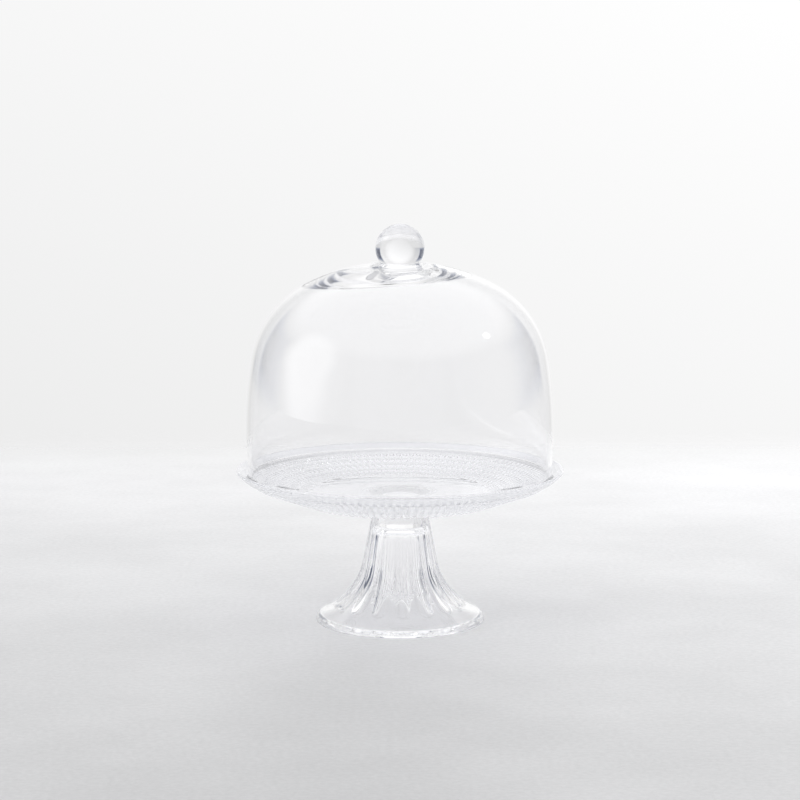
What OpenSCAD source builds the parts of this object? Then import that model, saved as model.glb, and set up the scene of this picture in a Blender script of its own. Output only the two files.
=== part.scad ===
// Pressed-glass cake stand with a blown glass dome.
// The origin is on the table, under the centre of the foot, and +Z is up the common axis.

/* [Plate] */
// Outside diameter of the plate
plate_d = 200; // [190:1:220]
// Height of the top of the plate's rim above the table
rim_z = 94; // [92:0.5:100]
// Height of the flat well above the table
well_z = 80.6; // [79:0.2:82]
// Diameter of the flat well that the cake sits on
well_d = 115; // [100:1:120]
// Thickness of the plate in its well
well_t = 6.6; // [6:0.2:8]
// Thickness of the plate at its lip
lip_t = 1.8; // [1.4:0.1:2.4]
// Number of bead rows under the plate
bead_rows = 5; // [3:1:5]
// Distance from one bead row to the next
bead_row_gap = 7; // [6:0.1:7.2]
// How far the beads stand out from the underside
bead_h = 1.2; // [0.8:0.1:1.2]

/* [Foot] */
// Outside diameter of the foot on the table
foot_d = 104; // [100:1:108]
// Radius of the concave flare between the neck and the base
flare_r = 43; // [40:1:46]
// Number of flutes round the foot
flutes = 16; // [8:1:18]
// Radius of the round channel of a flute
flute_r = 5.5; // [4.5:0.1:6]
// Depth of a flute
flute_depth = 1.8; // [1:0.1:2]
// Turn of the first flute from the front of the stand
flute_turn = 2.5; // [0:0.5:22.5]
// Wall thickness of the hollow foot in its neck
foot_wall = 6; // [5:0.2:7]
// Wall thickness of the hollow foot at its mouth
mouth_wall = 3.6; // [3.4:0.2:5]
// Height of the hollow inside the foot
hollow_h = 57; // [45:1:60]

/* [Dome] */
// Widest outside diameter of the dome
dome_d = 187.4; // [184:0.2:189]
// Height of the dome's crown above the table
crown_z = 220.2; // [205:0.2:240]
// Wall thickness of the dome
wall_t = 2.3; // [2:0.1:3]
// Thickness of the glass in the middle of the crown
crown_t = 8.5; // [7:0.1:10]
// Radius of the thick patch in the crown
patch_r = 50; // [40:1:52]
// Gap that keeps the dome clear of the plate
seat_gap = 0.3; // [0.2:0.05:0.5]

/* [Knob] */
// Diameter of the ball knob
knob_d = 29.9; // [28:0.1:34]
// Diameter of the knob's neck where it is fused to the dome
knob_neck_d = 24.6; // [20:0.1:25]
// Height of the centre of the ball above the crown
knob_rise = 7.8; // [7:0.1:9]
// Depth of the dished seat that the knob is fused into, below the crown
knob_seat_drop = 3.6; // [3:0.1:4]

/* [Hidden] */
$fn = 96;

// Plate: slopes from the horizontal of its top, its underside and its turned-up lip
top_slope = 15.6;
under_slope = 20.4;
lip_slope = 45;
well_round_r = 30;
lip_round_r = 10;
under_z = well_z - well_t;
lip_centre = [plate_d / 2 - lip_t / 2, rim_z - lip_t / 2];
lip_under = lip_centre + lip_t / 2 * [sin(lip_slope), -cos(lip_slope)];
lip_top = lip_centre - lip_t / 2 * [sin(lip_slope), -cos(lip_slope)];
well_corner = [well_d / 2, well_z];
under_corner = [well_d / 2, under_z];
top_bend = meet(well_corner, top_slope, lip_top, lip_slope);
under_bend = meet(under_corner, under_slope, lip_under, lip_slope);

// Beads: each row is a ring that ends inside the plate, and a smooth margin lies outside them
bead_r = 1.6 * bead_h;
bead_margin = 7.5;
outer_row_r = under_bend.x - bead_margin;

// Foot: a small round at the table, a concave flare, a sloping neck and a collar under the plate.
// Its slopes are measured from the vertical. The cut for the hollow starts below the table.
neck_slope = 10.9;
flare_slope = 66.8;
foot_round_r = 6;
foot_round_slope = 10.9;
collar_r = 6;
cut_z = -1;
foot_round_centre = [foot_d / 2, 0] - foot_round_r * slope_out(foot_round_slope);
flare_end = foot_round_centre + foot_round_r * slope_out(flare_slope);
flare_centre = flare_end + flare_r * slope_out(flare_slope);
flare_start = flare_centre - flare_r * slope_out(neck_slope);
neck_top = [flare_start.x - (under_z - flare_start.y) * tan(neck_slope), under_z];

// Flutes: the middle of a channel runs outside the surface, straight down the neck and then
// along the flare, and it stops short of the flare's end. Its nose is a hair slimmer than it is.
flute_path_r = flare_r - flute_r + flute_depth;
flute_stop_short = 18;
flute_bend = flare_slope - neck_slope - flute_stop_short;
flute_neck_h = 30;
flute_nose_r = flute_r - 0.1;

// Dome: crown, shoulder and wall are three arcs that run into each other. A lower patch_fade
// makes the edge of the thick patch clearer.
crown_slope = 25.6;
wall_slope = 81;
patch_fade = 1.3;
shoulder_r = dome_d / 3;
wall_r = 1.6 * dome_d;
crown_r = shoulder_r
    + (dome_d / 2 - wall_r + (wall_r - shoulder_r) * sin(wall_slope)) / sin(crown_slope);
crown_centre = [0, crown_z - crown_r];
shoulder_centre = crown_centre + (crown_r - shoulder_r) * [sin(crown_slope), cos(crown_slope)];
wall_centre = shoulder_centre + (shoulder_r - wall_r) * [sin(wall_slope), cos(wall_slope)];

// Dome's lower edge: a round that stays one seat gap clear of the plate's sloping top
edge_r = wall_t / 2;
edge_centre = far_crossing(
    well_corner + (edge_r + seat_gap) * [-sin(top_slope), cos(top_slope)],
    [cos(top_slope), sin(top_slope)], wall_centre, wall_r - edge_r);
edge_angle = atan2(edge_centre.y - wall_centre.y, edge_centre.x - wall_centre.x);

// Knob: the middle of the ball, and the dish that its neck is fused into
knob_r = knob_d / 2;
knob_neck_r = knob_neck_d / 2;
knob_centre = [0, crown_z + knob_rise];
knob_seat_z = crown_z - knob_seat_drop;
dish_w = 6;
dish_r = knob_neck_r + dish_w;

// Direction out of a face whose slope is measured from the vertical
function slope_out(a) = [cos(a), sin(a)];

function unit(v) = v / norm(v);

// Points along a circle from angle a to angle b
function arc(centre, r, a, b, n = 12) =
    [for (i = [0:n]) centre + r * [cos(a + (b - a) * i / n), sin(a + (b - a) * i / n)]];

// Where a line through p at angle a crosses a line through q at angle b
function meet(p, a, q, b) =
    p + ((q.x - p.x) * sin(b) - (q.y - p.y) * cos(b)) / sin(b - a) * [cos(a), sin(a)];

// Far crossing of a circle by the line that leaves p along the unit vector u
function far_crossing(p, u, centre, r) =
    let (along = (centre - p) * u, off = centre - p - along * u)
    p + (along + sqrt(r * r - off * off)) * u;

// Points of an arc of radius r that rounds the corner b on the way from a to c
function corner(a, b, c, r, n = 8) =
    let (
        half = acos(unit(a - b) * unit(c - b)) / 2,
        centre = b + unit(unit(a - b) + unit(c - b)) * r / sin(half),
        start = b + unit(a - b) * r / tan(half) - centre,
        from = atan2(start.y, start.x),
        turn = sign(cross(b - a, c - b)) * (180 - 2 * half)
    )
    arc(centre, r, from, from + turn, n);

// Plate with a flat well, sloping sides, a turned-up lip and rows of beads underneath
module cake_plate() {
    color("aliceblue") {
        rotate_extrude() polygon(plate_outline());
        for (row = [0:bead_rows - 1]) bead_row(outer_row_r - row * bead_row_gap);
    }
}

function plate_outline() = concat(
    [[0, under_z]],
    corner([0, under_z], under_corner, under_bend, well_round_r),
    corner(under_corner, under_bend, lip_under, lip_round_r),
    arc(lip_centre, lip_t / 2, lip_slope - 90, lip_slope + 90),
    corner(lip_top, top_bend, well_corner, lip_round_r),
    corner(top_bend, well_corner, [0, well_z], well_round_r),
    [[0, well_z]]
);

// One row of beads, as a half-round ring that stands out from the underside by bead_h
module bead_row(r) {
    face_z = under_z + max(0, r - under_corner.x) * tan(under_slope);
    rotate_extrude() translate([r, face_z + bead_r - bead_h]) circle(bead_r);
}

// Fluted foot, hollow from the table up and solid above the hollow
module pedestal_foot() {
    color("lightcyan")
    difference() {
        rotate_extrude() polygon(foot_outline());
        rotate_extrude() polygon(hollow_outline());
        for (i = [0:flutes - 1]) rotate(flute_turn - 90 + i * 360 / flutes) flute();
    }
}

function foot_outline() = concat(
    [[0, 0]],
    arc(foot_round_centre, foot_round_r, foot_round_slope, flare_slope, 6),
    arc(flare_centre, flare_r, 180 + flare_slope, 180 + neck_slope, 16),
    corner(flare_start, neck_top, neck_top + [collar_r, 0], collar_r),
    [[0, under_z]]
);

// The hollow lies inside the flare and the neck, under a rounded ceiling, and the wall between
// gets thinner toward the mouth
function hollow_outline() =
    let (
        neck_in = flare_start - foot_wall * slope_out(neck_slope),
        top = [neck_in.x - (hollow_h - neck_in.y) * tan(neck_slope), hollow_h],
        mouth_angle = 270 - acos((flare_centre.y - cut_z) / (flare_r + mouth_wall)),
        steps = 24
    )
    concat(
        [[0, cut_z]],
        [for (i = [0:steps])
            let (
                angle = mouth_angle + (180 + neck_slope - mouth_angle) * i / steps,
                wall = mouth_wall + (foot_wall - mouth_wall) * (1 - cos(180 * i / steps)) / 2
            )
            flare_centre - (flare_r + wall) * slope_out(angle - 180)],
        corner(neck_in, top, [0, hollow_h], top.x / 2),
        [[0, hollow_h]]
    );

// Round channel that runs down the neck, bends out along the flare and ends in a round nose
module flute() {
    translate([flare_centre.x, 0, flare_centre.y])
    rotate([90, 0, 0])
    rotate(180 + neck_slope) {
        translate([flute_path_r, 0]) rotate([90, 0, 0]) cylinder(r = flute_r, h = flute_neck_h);
        rotate_extrude(angle = flute_bend) translate([flute_path_r, 0]) circle(flute_r);
        rotate(flute_bend) translate([flute_path_r, 0]) sphere(flute_nose_r);
    }
}

// Blown dome with a thick crown, a dished seat for the knob and a rounded lower edge
module dome_shell() {
    color("azure") rotate_extrude() polygon(dome_outline());
}

function dome_outline() = concat(
    [for (i = [0:12]) [patch_r * i / 12, crown_inside(patch_r * i / 12)]],
    arc(crown_centre, crown_r - wall_t, acos(patch_r / (crown_r - wall_t)), 90 - crown_slope, 4),
    arc(shoulder_centre, shoulder_r - wall_t, 90 - crown_slope, 90 - wall_slope),
    arc(wall_centre, wall_r - wall_t, 90 - wall_slope, edge_angle, 10),
    arc(edge_centre, edge_r, edge_angle + 180, edge_angle + 360, 8),
    arc(wall_centre, wall_r, edge_angle, 90 - wall_slope, 10),
    arc(shoulder_centre, shoulder_r, 90 - wall_slope, 90 - crown_slope),
    arc(crown_centre, crown_r, 90 - crown_slope, acos(dish_r / crown_r), 8),
    [[knob_neck_r, knob_seat_z], [0, knob_seat_z]]
);

// Height of the inside of the crown, where the glass gets thicker toward the middle
function crown_inside(r) =
    crown_centre.y + sqrt(pow(crown_r - wall_t, 2) - r * r)
    - (crown_t - wall_t) * pow(1 - pow(r / patch_r, 2), patch_fade);

// Solid ball knob on a short neck
module dome_knob() {
    neck_angle = -acos(knob_neck_r / knob_r);
    color("lavender")
    rotate_extrude()
    polygon(concat(
        [[0, knob_seat_z], [knob_neck_r, knob_seat_z]],
        arc(knob_centre, knob_r, neck_angle, 90, 24)
    ));
}

cake_plate();
pedestal_foot();
dome_shell();
dome_knob();
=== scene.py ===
"""Clear glass cake stand under a blown glass dome, on a pale table in a bright room.

The four pieces of glass are lathed around the object's axis as closed meshes. Outlines are in
millimetres, as pairs of a radius and a height, and become metres when a mesh is made.
"""

import math

import bmesh
import bpy
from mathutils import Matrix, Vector


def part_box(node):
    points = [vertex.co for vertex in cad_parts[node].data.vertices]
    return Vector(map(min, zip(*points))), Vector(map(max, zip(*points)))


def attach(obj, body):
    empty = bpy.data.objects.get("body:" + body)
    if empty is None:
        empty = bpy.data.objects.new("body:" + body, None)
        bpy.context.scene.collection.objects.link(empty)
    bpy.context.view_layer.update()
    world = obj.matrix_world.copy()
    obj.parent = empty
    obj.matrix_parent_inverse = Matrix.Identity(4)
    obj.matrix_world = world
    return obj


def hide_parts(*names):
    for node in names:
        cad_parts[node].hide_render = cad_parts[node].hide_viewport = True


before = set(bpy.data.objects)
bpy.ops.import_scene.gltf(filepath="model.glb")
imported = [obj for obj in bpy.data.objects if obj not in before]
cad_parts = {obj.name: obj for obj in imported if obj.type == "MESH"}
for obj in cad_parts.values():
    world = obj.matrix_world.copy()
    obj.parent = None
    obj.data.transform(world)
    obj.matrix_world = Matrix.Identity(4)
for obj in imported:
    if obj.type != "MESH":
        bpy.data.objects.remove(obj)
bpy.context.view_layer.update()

MM = 0.001
PLATE_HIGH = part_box("cake_plate")[1] / MM
FOOT_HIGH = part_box("pedestal_foot")[1] / MM
DOME_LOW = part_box("dome_shell")[0] / MM
KNOB_LOW, KNOB_HIGH = (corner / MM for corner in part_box("dome_knob"))

# Plate
RIM_R = PLATE_HIGH.x
RIM_Z = PLATE_HIGH.z
WELL_R = 57.5
WELL_Z = 80.6
UNDER_Z = FOOT_HIGH.z
TOP_SLOPE = 15.6
UNDER_SLOPE = 20.4
LIP_SLOPE = 45
LIP_T = 1.8
WELL_ROUND_R = 30
LIP_ROUND_R = 10

# Beads under the plate: every row has a few beads less than the row outside it. A bead is a round
# cap that is stretched along the plate's radius. Plain rings stay BEADS_CLEAR away from the rows.
BEAD_ROWS = 5
BEAD_ROW_GAP = 7.0
BEAD_MARGIN = 7.5
OUTER_ROW_BEADS = 125
FEWER_PER_ROW = 8
BEAD_LENGTH = 4.8
BEAD_WIDTH = 3.4
BEAD_H = 1.2
BEAD_SIDES = 10
BEAD_RINGS = 10
BEAD_CAP_R = (BEAD_WIDTH ** 2 / 4 + BEAD_H ** 2) / (2 * BEAD_H)
BEADS_CLEAR = 0.3

# Larger beads where the underside turns flat
PEARLS = 44
PEARL_ROW_R = 58.5
PEARL_SIZE = 5.6
PEARL_H = 1.4
PEARL_CAP_R = (PEARL_SIZE ** 2 / 4 + PEARL_H ** 2) / (2 * PEARL_H)

# Foot: the first COLLAR_PLAIN points of the collar, under the plate, have no flutes
FOOT_R = FOOT_HIGH.x
FOOT_ROUND_R = 6
FOOT_ROUND_SLOPE = 10.9
FLARE_R = 43
FLARE_SLOPE = 66.8
NECK_SLOPE = 10.9
NECK_TAN = math.tan(math.radians(NECK_SLOPE))
COLLAR_R = 6
COLLAR_TOP_R = 20.8
COLLAR_PLAIN = 2
FOOT_WALL = 6
MOUTH_WALL = 3.6
HOLLOW_H = 57
MOUTH_BEVEL = 0.5
FOOT_STEP = 0.8
FLARE_STEPS = 64
HOLLOW_STEPS = 40

# Flutes: they get shallower where there is less room for them, and their edges are soft
FLUTES = 16
FLUTE_HALF_W = 4.9
FLUTE_DEPTH = 1.8
FLUTE_TURN = 2.5
FLUTE_STOP_SHORT = 18
FLUTE_FADE = 5
FLUTE_SOFTNESS = 1.1
FLUTE_SIDES = 24

# Knob
KNOB_R = KNOB_HIGH.x
KNOB_Z = KNOB_HIGH.z - KNOB_R
KNOB_SEAT_Z = KNOB_LOW.z
KNOB_NECK_R = 12.3
KNOB_STEP = 0.5

# Dome: crown, shoulder and wall are three arcs that run into each other
DOME_R = 93.7
SHOULDER_R = DOME_R * 2 / 3
WALL_R = DOME_R * 3.2
WALL_T = 2.3
WALL_SLOPE = 81
CROWN_SLOPE = 25.6
CROWN_Z = KNOB_SEAT_Z + 3.6
DISH_W = 6
DISH_STEPS = 8

# Thick patch inside the crown: it leans to the left, and the rings inside the dome start to
# follow it a little outside its edge
CROWN_T = 8.5
PATCH_R = 50
PATCH_FADE = 1.3
PATCH_LEAN = -8
LEAN_START_R = 64
PATCH_RINGS = 40

# Sides of a smooth lathed ring, the longest straight step along an outline, and a radius that
# counts as none
SMOOTH_SIDES = 256
STEP = 2.0
ON_AXIS = 1e-6

# Glass: refraction, and a haze that is a soft step of a noise
GLASS_IOR = 1.52
HAZE_SCALE = 60.0
HAZE = (0.45, 0.75, 0.0, 0.02)

# Table, in metres: its edges, where it starts to fade, and a hair's gap under the glass
TABLE_HALF = 3.0
TABLE_CUTS = 5
TABLE_BACK = 0.76
TABLE_FADE = 0.45
TABLE_GAP = 0.00015

# Tone of the table. Every line of four is a soft step: where it starts and ends, and the share of
# the tone at both. The steps toward the back and the right are painted light: the table is lighter
# where more light falls. The front is a little darker in the middle: a painted shadow that the
# stand throws toward the camera.
PAINTED_LIGHT_BACK = (-0.6, 0.8, 0.56, 0.88)
PAINTED_LIGHT_RIGHT = (-0.9, 0.9, 0.87, 1.13)
# Painted shadow of the stand: the table is darker in the front middle.
PAINTED_SHADOW_SIDE = (0.12, 0.01, 0.0, -0.08)
PAINTED_SHADOW_FRONT = (0.05, -0.12)
TABLE_STRETCH = (1.0, 1.3, 1.0)
CLOUD_SCALE = 5.0
CLOUD = (0.25, 0.75, 0.94, 1.06)
GRAIN_SCALE = 300.0
GRAIN = (0.2, 0.8, 0.94, 1.06)
GRAIN_DEPTH = 0.2
TABLE_BLUE = 1.01

# Room. Every line of four is a soft step again, over one part of the direction: y for the wall and
# the sides, z for the ground and the ceiling, and x for SIDES_RIGHT. The sides start with dark
# flanks beside the wall. Dim parts of the room are blue.
WALL_TONE = 0.945
WALL_TONE_RIGHT = 0.2
WALL_TONE_UP = 0.4
WALL_SPREAD = (0.68, 0.76)
WALL_MIDDLE = (0.86, 0.97, 0.75, 1.0)
SIDES = (0.6, -0.05, 0.12, 0.80)
SIDES_RIGHT = (-0.6, 0.6, 1.1, 0.9)
SIDES_FRONT = (-0.75, -0.35, 0.9, 1.0)
GROUND = (0.05, -0.1, 0.0, 0.76)
CEILING = (0.2, 0.65, 0.0, 1.2)
DARKEST = 0.01
DIM_RED = (0.1, 0.75, 0.5, 1.0)
DIM_GREEN_POWER = 0.7

# Round bright patches of the room: direction, cosines of inner and outer radius, brightness
WINDOWS = [
    ((-0.96, -0.2, 0.3), 0.97, 0.88, 0.9),
    ((0.79, 0.0, 0.6), 0.9996, 0.9985, 5.0),
]

# The camera looks down a little on the object from its front
LENS = 91.05
SENSOR = 36
CAMERA_Y = -1221.7
CAMERA_Z = 304.9
CAMERA_PITCH = 7.89


# ---------------------------------------------------------------- outlines


def polar(radius, angle):
    return Vector((radius * math.cos(math.radians(angle)), radius * math.sin(math.radians(angle))))


def arc(centre, radius, start, end, count=12):
    """Points along a circle from one angle to another."""
    return [centre + polar(radius, start + (end - start) * i / count) for i in range(count + 1)]


def meet(p, slope_p, q, slope_q):
    """Where a line through p crosses a line through q."""
    along, across = polar(1, slope_p), polar(1, slope_q)
    return p + along * ((q - p).cross(across) / along.cross(across))


def rounded(a, b, c, radius, count=8):
    """Points of an arc that rounds the corner b on the way from a to c."""
    to_a, to_c = (a - b).normalized(), (c - b).normalized()
    half = to_a.angle(to_c) / 2
    centre = b + (to_a + to_c).normalized() * radius / math.sin(half)
    start = b + to_a * radius / math.tan(half) - centre
    turn = math.copysign(180 - 2 * math.degrees(half), (b - a).cross(c - b))
    first = math.degrees(math.atan2(start.y, start.x))
    return arc(centre, radius, first, first + turn, count)


def stepped(points, step=STEP):
    """The same outline, with no straight stretch longer than a step."""
    result = [points[0]]
    for a, b in zip(points, points[1:]):
        count = max(1, math.ceil((b - a).length / step))
        result += [a.lerp(b, (i + 1) / count) for i in range(count)]
    return result


def cap(distance, radius, height):
    """How far a round cap of that height stands out at a distance from its middle."""
    if distance > radius:
        return height - radius
    return math.sqrt(radius * radius - distance * distance) - radius + height


# ---------------------------------------------------------------- meshes


def ring(point):
    """The circle that a point of the outline makes, or one point if it is on the axis."""
    if point.x < ON_AXIS:
        return [Vector((0, 0, point.y))]
    turns = (360 * i / SMOOTH_SIDES for i in range(SMOOTH_SIDES))
    return [Vector((*polar(point.x, turn), point.y)) for turn in turns]


def strip(mesh, low, high):
    """Faces between two rings of any counts that start at about the same angle."""
    n, m = len(low), len(high)
    faces = []
    if n == m:
        for i in range(n):
            j = (i + 1) % n
            faces.append(mesh.faces.new((low[i], low[j], high[j], high[i])))
        return faces
    i = j = 0
    steps_low, steps_high = (0 if n == 1 else n), (0 if m == 1 else m)
    while i < steps_low or j < steps_high:
        if j == steps_high or (i < steps_low and (i + 1) * m <= (j + 1) * n):
            faces.append(mesh.faces.new((low[i % n], low[(i + 1) % n], high[j % m])))
            i += 1
        else:
            faces.append(mesh.faces.new((low[i % n], high[(j + 1) % m], high[j % m])))
            j += 1
    return faces


def glass_piece(name, rings, body, material):
    """A closed lathed piece of glass. Its first strip is the joint that it is fused at."""
    mesh = bmesh.new()
    loops = [[mesh.verts.new(point * MM) for point in points] for points in rings]
    for index, (low, high) in enumerate(zip(loops, loops[1:])):
        for face in strip(mesh, low, high):
            face.smooth = True
            face.material_index = 1 if index == 0 else 0
    bmesh.ops.recalc_face_normals(mesh, faces=mesh.faces)
    data = bpy.data.meshes.new(name)
    mesh.to_mesh(data)
    mesh.free()
    data.materials.append(material)
    data.materials.append(FUSED_JOINT)
    piece = bpy.data.objects.new(name, data)
    bpy.context.scene.collection.objects.link(piece)
    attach(piece, body)
    return piece


# ---------------------------------------------------------------- shader nodes


class Shader:
    """Adds nodes to one material or world."""

    def __init__(self, owner):
        owner.use_nodes = True
        self.tree = owner.node_tree
        self.tree.nodes.clear()

    def add(self, kind, *inputs, **settings):
        """A node, with its first inputs linked or set in order, and its settings."""
        node = self.tree.nodes.new("ShaderNode" + kind)
        for key, value in settings.items():
            if hasattr(node, key):
                setattr(node, key, value)
            else:
                self.put(value, node.inputs[key.replace("_", " ").title()])
        for value, socket in zip(inputs, node.inputs):
            self.put(value, socket)
        return node

    def put(self, value, socket):
        if isinstance(value, bpy.types.NodeSocket):
            self.tree.links.new(value, socket)
        elif value is not None:
            socket.default_value = value

    def math(self, operation, *inputs):
        return self.add("Math", *inputs, operation=operation).outputs[0]

    def smooth(self, value, low, high, to_low=0.0, to_high=1.0):
        """A soft step from to_low to to_high as value goes from low to high."""
        node = self.add("MapRange", value, low, high, to_low, to_high)
        node.interpolation_type = "SMOOTHSTEP"
        return node.outputs[0]

    def noise(self, vector, scale, detail=2.0, roughness=0.5):
        node = self.add("TexNoise", noise_dimensions="3D")
        self.put(vector, node.inputs["Vector"])
        self.put(scale, node.inputs["Scale"])
        self.put(detail, node.inputs["Detail"])
        self.put(roughness, node.inputs["Roughness"])
        return node.outputs["Fac"]


def glass(name, tint, ripple_size, ripple_depth):
    """Clear glass with the faintest haze, and soft ripples whose size and depth are in mm."""
    material = bpy.data.materials.new(name)
    shader = Shader(material)
    place = shader.add("TexCoord").outputs["Object"]
    ripple = shader.noise(place, 1 / (ripple_size * MM), 1.0)
    bump = shader.add("Bump")
    bump.inputs["Strength"].default_value = 1.0
    bump.inputs["Distance"].default_value = ripple_depth * MM
    shader.put(ripple, bump.inputs["Height"])
    haze = shader.smooth(shader.noise(place, HAZE_SCALE, 3.0), *HAZE)
    surface = shader.add("BsdfPrincipled")
    surface.inputs["Base Color"].default_value = (*tint, 1)
    surface.inputs["Transmission Weight"].default_value = 1.0
    surface.inputs["IOR"].default_value = GLASS_IOR
    shader.put(haze, surface.inputs["Roughness"])
    shader.put(bump.outputs[0], surface.inputs["Normal"])
    output = shader.add("OutputMaterial")
    shader.put(surface.outputs[0], output.inputs["Surface"])
    return material


def fused_joint():
    """Where two pieces of glass are fused there is no surface to see."""
    material = bpy.data.materials.new("fused_joint")
    shader = Shader(material)
    clear = shader.add("BsdfTransparent")
    output = shader.add("OutputMaterial")
    shader.put(clear.outputs[0], output.inputs["Surface"])
    return material


# ---------------------------------------------------------------- plate


def plate_outline():
    """The top of the plate and its underside without beads, from the joint out and back."""
    lip_centre = Vector((RIM_R - LIP_T / 2, RIM_Z - LIP_T / 2))
    lip_under = lip_centre + polar(LIP_T / 2, LIP_SLOPE - 90)
    lip_top = lip_centre + polar(LIP_T / 2, LIP_SLOPE + 90)
    well_corner = Vector((WELL_R, WELL_Z))
    under_corner = Vector((WELL_R, UNDER_Z))
    top_bend = meet(well_corner, TOP_SLOPE, lip_top, LIP_SLOPE)
    under_bend = meet(under_corner, UNDER_SLOPE, lip_under, LIP_SLOPE)
    joint = Vector((COLLAR_TOP_R, UNDER_Z))
    under = [
        joint,
        *rounded(joint, under_corner, under_bend, WELL_ROUND_R),
        *rounded(under_corner, under_bend, lip_under, LIP_ROUND_R),
    ]
    lip = arc(lip_centre, LIP_T / 2, LIP_SLOPE - 90, LIP_SLOPE + 90)
    top = [
        *rounded(lip_top, top_bend, well_corner, LIP_ROUND_R),
        *rounded(top_bend, well_corner, Vector((0, WELL_Z)), WELL_ROUND_R),
        Vector((0, WELL_Z)),
    ]
    return under, lip, top, under_bend


def at_radius(points, radius):
    """The point of an outline at a radius, and the direction out of the underside there."""
    for a, b in zip(points, points[1:]):
        if a.x <= radius <= b.x:
            along = (b - a).normalized()
            return a.lerp(b, (radius - a.x) / (b.x - a.x)), Vector((along.y, -along.x))
    return points[-1], Vector((0, -1))


def bead_rings(under, row_r, row):
    """Rings across one row of beads."""
    beads = OUTER_ROW_BEADS - FEWER_PER_ROW * row
    sides = beads * BEAD_SIDES
    pitch = 2 * math.pi * row_r / beads
    rings = []
    for step in range(BEAD_RINGS):
        across = ((step + 0.5) / BEAD_RINGS - 0.5) * BEAD_ROW_GAP
        point, out = at_radius(under, row_r + across)
        points = []
        for i in range(sides):
            part = i / BEAD_SIDES % 1 - 0.5
            along = abs(part) * pitch
            distance = math.hypot(along / BEAD_WIDTH, across / BEAD_LENGTH) * BEAD_WIDTH
            height = max(0, cap(distance, BEAD_CAP_R, BEAD_H), pearl_height(point.x, i / sides))
            spot = point + out * height
            points.append(Vector((*polar(spot.x, 360 * i / sides), spot.y)))
        rings.append(points)
    return rings


def pearl_height(radius, turn):
    """How far the row of larger beads stands out, at a share of a turn round the plate."""
    part = abs(turn * PEARLS % 1 - 0.5) / PEARLS
    distance = math.hypot(radius - PEARL_ROW_R, 2 * math.pi * radius * part)
    return cap(distance, PEARL_CAP_R, PEARL_H)


def cake_plate():
    under, lip, top, under_bend = plate_outline()
    outer_row_r = under_bend.x - BEAD_MARGIN
    inner_r = outer_row_r - (BEAD_ROWS - 0.5) * BEAD_ROW_GAP
    outer_r = outer_row_r + BEAD_ROW_GAP / 2
    smooth_in = [p for p in stepped(under) if p.x < inner_r - BEADS_CLEAR]
    smooth_out = [p for p in stepped(under) if p.x > outer_r + BEADS_CLEAR]
    rings = [ring(Vector((0, UNDER_Z)))]
    rings += [ring(p) for p in smooth_in]
    for row in reversed(range(BEAD_ROWS)):
        rings += bead_rings(under, outer_row_r - row * BEAD_ROW_GAP, row)
    rings += [ring(p) for p in stepped([*smooth_out, *lip, *top])]
    piece = glass_piece("cake_plate_glass", rings, "stand", PLATE_GLASS)
    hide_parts("cake_plate")


# ---------------------------------------------------------------- foot


def foot_centres():
    round_centre = Vector((FOOT_R, 0)) - polar(FOOT_ROUND_R, FOOT_ROUND_SLOPE)
    flare_end = round_centre + polar(FOOT_ROUND_R, FLARE_SLOPE)
    flare_centre = flare_end + polar(FLARE_R, FLARE_SLOPE)
    return round_centre, flare_centre


def flute_depth(radius, turn, past_end):
    """Depth of a flute, whose edges are rounded by fire polishing."""
    half_width = min(FLUTE_HALF_W, math.pi * radius / FLUTES)
    part = math.hypot(radius * math.radians(turn), max(0, past_end)) / half_width
    room = (half_width / FLUTE_HALF_W) ** FLUTE_FADE
    return FLUTE_DEPTH * room * max(0, 1 - part * part) ** FLUTE_SOFTNESS


def fluted_ring(point, out, past_end):
    """A ring of the foot's outside, pressed in along the flutes. It starts in a flute's middle."""
    sides = FLUTES * FLUTE_SIDES
    points = []
    for i in range(sides):
        turn = 360 * ((i / FLUTE_SIDES + 0.5) % 1 - 0.5) / FLUTES
        spot = point - out * flute_depth(point.x, turn, past_end)
        points.append(Vector((*polar(spot.x, FLUTE_TURN + 360 * i / sides), spot.y)))
    return points


def pedestal_foot():
    round_centre, flare_centre = foot_centres()
    flare_start = flare_centre - polar(FLARE_R, NECK_SLOPE)
    neck_top = Vector((flare_start.x - (UNDER_Z - flare_start.y) * NECK_TAN, UNDER_Z))
    collar = rounded(flare_start, neck_top, neck_top + Vector((COLLAR_R, 0)), COLLAR_R)[::-1]
    neck = stepped([collar[-1], flare_start], FOOT_STEP)
    flare = arc(flare_centre, FLARE_R, 180 + NECK_SLOPE, 180 + FLARE_SLOPE, FLARE_STEPS)
    base = arc(round_centre, FOOT_ROUND_R, FLARE_SLOPE, FOOT_ROUND_SLOPE, 16)

    rings = [ring(Vector((0, UNDER_Z)))]
    for i, p in enumerate(collar):
        facing = collar[min(i + 1, len(collar) - 1)] - collar[max(i - 1, 0)]
        out = Vector((-facing.y, facing.x)).normalized()
        rings.append(fluted_ring(p, out, 0) if i > COLLAR_PLAIN else ring(p))
    rings += [fluted_ring(p, polar(1, NECK_SLOPE), 0) for p in neck[1:]]
    end_angle = 180 + FLARE_SLOPE - FLUTE_STOP_SHORT
    for i, p in enumerate(flare[1:]):
        angle = 180 + NECK_SLOPE + (FLARE_SLOPE - NECK_SLOPE) * (i + 1) / FLARE_STEPS
        past_end = math.radians(angle - end_angle) * FLARE_R
        rings.append(fluted_ring(p, -polar(1, angle), past_end))
    rings += [ring(p) for p in base[1:]]
    rings += [ring(p) for p in stepped(foot_hollow(flare_centre))]
    piece = glass_piece("pedestal_foot_glass", rings, "stand", FOOT_GLASS)
    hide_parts("pedestal_foot")


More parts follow.
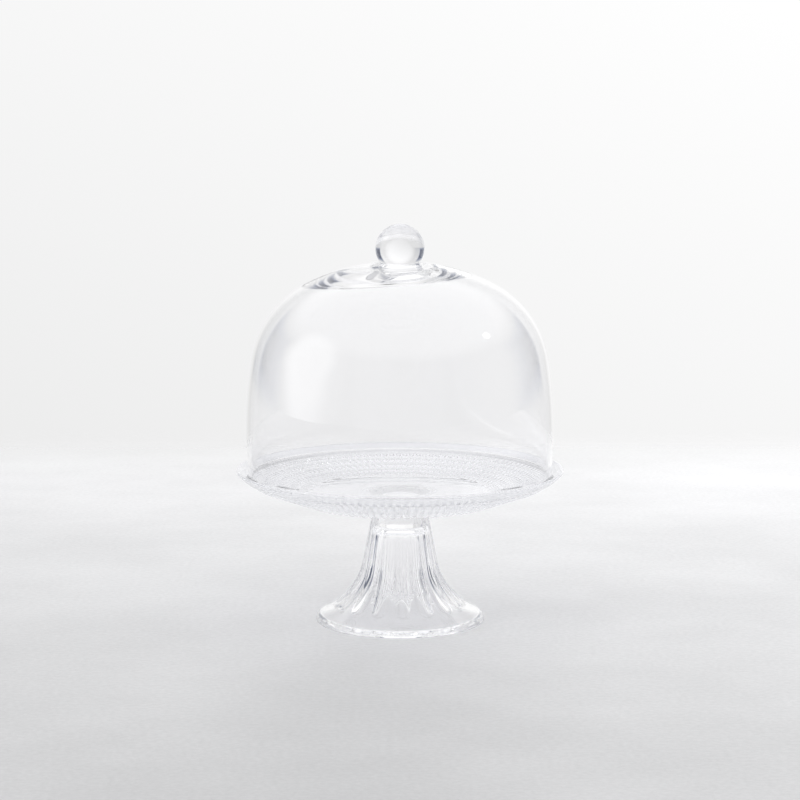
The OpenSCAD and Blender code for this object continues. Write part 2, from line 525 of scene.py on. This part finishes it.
def foot_hollow(flare_centre):
    """Base ring and hollow, from the foot's edge in and up to the hollow's ceiling."""
    mouth_angle = 270 - math.degrees(math.acos(flare_centre.y / (FLARE_R + MOUTH_WALL)))
    inside = []
    for i in range(HOLLOW_STEPS + 1):
        angle = mouth_angle + (180 + NECK_SLOPE - mouth_angle) * i / HOLLOW_STEPS
        up = (1 - math.cos(math.pi * i / HOLLOW_STEPS)) / 2
        wall = MOUTH_WALL + (FOOT_WALL - MOUTH_WALL) * up
        inside.append(flare_centre + polar(FLARE_R + wall, angle))
    neck_in = inside[-1]
    top = Vector((neck_in.x - (HOLLOW_H - neck_in.y) * NECK_TAN, HOLLOW_H))
    return [
        Vector((FOOT_R - MOUTH_BEVEL, 0)),
        inside[0] + Vector((MOUTH_BEVEL, 0)),
        *inside,
        *rounded(neck_in, top, Vector((0, HOLLOW_H)), top.x / 2),
        Vector((0, HOLLOW_H)),
    ]


# ---------------------------------------------------------------- dome and knob


def dome_shell():
    sin_wall = math.sin(math.radians(WALL_SLOPE))
    sin_crown = math.sin(math.radians(CROWN_SLOPE))
    crown_r = SHOULDER_R + (DOME_R - WALL_R + (WALL_R - SHOULDER_R) * sin_wall) / sin_crown
    crown_c = Vector((0, CROWN_Z - crown_r))
    shoulder_c = crown_c + polar(crown_r - SHOULDER_R, 90 - CROWN_SLOPE)
    wall_c = shoulder_c + polar(SHOULDER_R - WALL_R, 90 - WALL_SLOPE)

    edge_r = WALL_T / 2
    edge_c = Vector((0, DOME_LOW.z + edge_r))
    edge_c.x = wall_c.x + math.sqrt((WALL_R - edge_r) ** 2 - (edge_c.y - wall_c.y) ** 2)
    edge_angle = math.degrees(math.atan2(edge_c.y - wall_c.y, edge_c.x - wall_c.x))
    dish_edge = Vector((KNOB_NECK_R + DISH_W, 0))
    dish_edge.y = crown_c.y + math.sqrt(crown_r ** 2 - dish_edge.x ** 2)
    dish_angle = math.degrees(math.acos(dish_edge.x / crown_r))
    lean_start = (LEAN_START_R - shoulder_c.x) / (SHOULDER_R - WALL_T)
    lean_start_angle = math.degrees(math.acos(lean_start))

    def inside(radius, patch_radius):
        """Height of the inside, where the glass gets thicker toward the middle of the patch."""
        in_crown = radius < (crown_r - WALL_T) * sin_crown
        centre, arc_r = (crown_c, crown_r) if in_crown else (shoulder_c, SHOULDER_R)
        thin = centre.y + math.sqrt((arc_r - WALL_T) ** 2 - (radius - centre.x) ** 2)
        return thin - (CROWN_T - WALL_T) * max(0, 1 - (patch_radius / PATCH_R) ** 2) ** PATCH_FADE

    outline = [
        *(dish_point(i / DISH_STEPS, dish_edge) for i in range(DISH_STEPS)),
        *arc(crown_c, crown_r, dish_angle, 90 - CROWN_SLOPE, 24),
        *arc(shoulder_c, SHOULDER_R, 90 - CROWN_SLOPE, 90 - WALL_SLOPE, 40)[1:],
        *arc(wall_c, WALL_R, 90 - WALL_SLOPE, edge_angle, 24)[1:],
        *arc(edge_c, edge_r, edge_angle, edge_angle - 180, 16)[1:],
        *arc(wall_c, WALL_R - WALL_T, edge_angle, 90 - WALL_SLOPE, 24)[1:],
        *arc(shoulder_c, SHOULDER_R - WALL_T, 90 - WALL_SLOPE, lean_start_angle, 40)[1:],
    ]
    rings = [ring(Vector((0, KNOB_SEAT_Z))), *(ring(p) for p in stepped(outline))]
    for i in range(1, PATCH_RINGS):
        r = LEAN_START_R * (1 - i / PATCH_RINGS)
        lean = PATCH_LEAN * min(1, (LEAN_START_R - r) / (LEAN_START_R - PATCH_R))
        spots = [spot + Vector((lean, 0, 0)) for spot in ring(Vector((r, 0)))]
        rings.append([Vector((*spot.xy, inside(spot.xy.length, r))) for spot in spots])
    rings.append([Vector((PATCH_LEAN, 0, inside(abs(PATCH_LEAN), 0)))])
    piece = glass_piece("dome_shell_glass", rings, "dome", BLOWN)
    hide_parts("dome_shell")


def dish_point(part, dish_edge):
    """A point of the round hollow that the knob's neck is fused into, from neck to crown."""
    rise = part * part * (3 - 2 * part)
    return Vector((KNOB_NECK_R + DISH_W * part, KNOB_SEAT_Z + (dish_edge.y - KNOB_SEAT_Z) * rise))


def dome_knob():
    centre = Vector((0, KNOB_Z))
    neck_angle = -math.degrees(math.acos(KNOB_NECK_R / KNOB_R))
    outline = [Vector((KNOB_NECK_R, KNOB_SEAT_Z)), *arc(centre, KNOB_R, neck_angle, 90, 64)]
    rings = [ring(Vector((0, KNOB_SEAT_Z))), *(ring(p) for p in stepped(outline, KNOB_STEP))]
    piece = glass_piece("dome_knob_glass", rings, "dome", SOLID)
    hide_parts("dome_knob")


# ---------------------------------------------------------------- room


def table_top():
    """A pale table whose far edge melts into the white of the room."""
    mesh = bmesh.new()
    front, back = -TABLE_HALF, TABLE_BACK
    corners = [(-TABLE_HALF, front), (TABLE_HALF, front), (TABLE_HALF, back), (-TABLE_HALF, back)]
    face = mesh.faces.new([mesh.verts.new((x, y, -TABLE_GAP)) for x, y in corners])
    bmesh.ops.subdivide_edges(mesh, edges=face.edges[:], cuts=TABLE_CUTS, use_grid_fill=True)
    data = bpy.data.meshes.new("table_top")
    mesh.to_mesh(data)
    mesh.free()
    table = bpy.data.objects.new("table_top", data)
    bpy.context.scene.collection.objects.link(table)
    table.data.materials.append(table_plaster_with_painted_light())


def table_plaster_with_painted_light():
    """Pale mottled plaster with painted light, lighter toward the back and the right, a painted
    shadow of the stand in the front middle, and gone at the far edge.
    """
    material = bpy.data.materials.new("pale_plaster")
    shader = Shader(material)
    place = shader.add("TexCoord").outputs["Object"]
    x, y, _ = shader.add("SeparateXYZ", place).outputs
    stretched = shader.add("Mapping", place)
    stretched.inputs["Scale"].default_value = TABLE_STRETCH
    cloud = shader.noise(stretched.outputs[0], CLOUD_SCALE, 5.0, 0.6)
    grain = shader.noise(stretched.outputs[0], GRAIN_SCALE, 3.0, 0.7)
    # Painted light: the table is lighter toward the back and the right, where more light falls.
    back = shader.smooth(y, *PAINTED_LIGHT_BACK)
    right = shader.smooth(x, *PAINTED_LIGHT_RIGHT)
    # Painted shadow: the stand's soft shadow toward the camera, darker in the front middle of the
    # table.
    painted_shadow = shader.smooth(shader.math("ABSOLUTE", x), *PAINTED_SHADOW_SIDE)
    painted_shadow = shader.math("MULTIPLY_ADD", painted_shadow, shader.smooth(y, *PAINTED_SHADOW_FRONT), 1.0)
    tone = shader.math("MULTIPLY", shader.math("MULTIPLY", back, right), painted_shadow)
    tone = shader.math("MULTIPLY", tone, shader.smooth(cloud, *CLOUD))
    tone = shader.math("MULTIPLY", tone, shader.smooth(grain, *GRAIN))
    colour = shader.add("CombineColor", tone, tone, shader.math("MULTIPLY", tone, TABLE_BLUE))
    bump = shader.add("Bump")
    bump.inputs["Strength"].default_value = 0.3
    bump.inputs["Distance"].default_value = GRAIN_DEPTH * MM
    shader.put(grain, bump.inputs["Height"])
    surface = shader.add("BsdfPrincipled")
    surface.inputs["Roughness"].default_value = 0.6
    shader.put(colour.outputs[0], surface.inputs["Base Color"])
    shader.put(bump.outputs[0], surface.inputs["Normal"])
    fade = shader.smooth(y, TABLE_FADE, TABLE_BACK)
    gone = shader.add("BsdfTransparent")
    mix = shader.add("MixShader", fade, surface.outputs[0], gone.outputs[0])
    output = shader.add("OutputMaterial")
    shader.put(mix.outputs[0], output.inputs["Surface"])
    return material


def room():
    """A bright room: a white wall behind, darker flanks beside it, a white ceiling, soft sides."""
    world = bpy.data.worlds.new("room")
    bpy.context.scene.world = world
    shader = Shader(world)
    way = shader.add("TexCoord").outputs["Generated"]
    x, y, z = shader.add("SeparateXYZ", way).outputs

    wall_tone = shader.math("MULTIPLY_ADD", x, WALL_TONE_RIGHT, WALL_TONE)
    wall_tone = shader.math("MULTIPLY_ADD", z, WALL_TONE_UP, wall_tone)
    wall = shader.math("MULTIPLY", shader.smooth(y, *WALL_SPREAD), wall_tone)
    wall = shader.math("MULTIPLY", shader.smooth(y, *WALL_MIDDLE), wall)
    sides = shader.math("MULTIPLY", shader.smooth(y, *SIDES), shader.smooth(x, *SIDES_RIGHT))
    sides = shader.math("MULTIPLY", sides, shader.smooth(y, *SIDES_FRONT))
    ground = shader.smooth(z, *GROUND)
    ceiling = shader.smooth(z, *CEILING)
    light = shader.math("MAXIMUM", shader.math("MAXIMUM", wall, ceiling), sides)
    light = shader.math("MAXIMUM", light, ground)
    for direction, inner, outer, strength in WINDOWS:
        middle = Vector(direction).normalized()
        toward = shader.add("VectorMath", way, middle, operation="DOT_PRODUCT")
        patch = shader.smooth(toward.outputs["Value"], outer, inner, 0.0, strength)
        light = shader.math("ADD", light, patch)
    light = shader.math("MAXIMUM", light, DARKEST)

    red = shader.smooth(light, *DIM_RED)
    colour = shader.add("CombineColor", red, shader.math("POWER", red, DIM_GREEN_POWER), 1.0)
    surface = shader.add("Background")
    shader.put(colour.outputs[0], surface.inputs["Color"])
    shader.put(light, surface.inputs["Strength"])
    output = shader.add("OutputWorld")
    shader.put(surface.outputs[0], output.inputs["Surface"])


def camera():
    data = bpy.data.cameras.new("camera")
    data.lens = LENS
    data.sensor_width = SENSOR
    eye = bpy.data.objects.new("camera", data)
    eye.location = Vector((0, CAMERA_Y, CAMERA_Z)) * MM
    eye.rotation_euler = (math.radians(90 - CAMERA_PITCH), 0, 0)
    bpy.context.scene.collection.objects.link(eye)
    bpy.context.scene.camera = eye


# Tint, then size and depth of the ripples
PLATE_GLASS = glass("plate_glass", (0.93, 0.935, 0.955), 14, 0.02)
FOOT_GLASS = glass("foot_glass", (0.99, 0.99, 0.995), 14, 0.02)
BLOWN = glass("blown_glass", (0.99, 0.99, 0.995), 35, 0.03)
SOLID = glass("solid_glass", (0.985, 0.985, 0.995), 12, 0.01)
FUSED_JOINT = fused_joint()

camera()
room()
table_top()
cake_plate()
pedestal_foot()
dome_shell()
dome_knob()

# A path of light crosses many faces of glass, and inside them it can be reflected many times.
# Without clamping or blurring, the light that comes through the glass reaches the table.
scene = bpy.context.scene
scene.view_settings.view_transform = "Standard"
scene.cycles.max_bounces = 64
scene.cycles.transmission_bounces = 64
scene.cycles.glossy_bounces = 64
scene.cycles.transparent_max_bounces = 32
scene.cycles.blur_glossy = 0
scene.cycles.sample_clamp_indirect = 0
scene.cycles.use_denoising = True
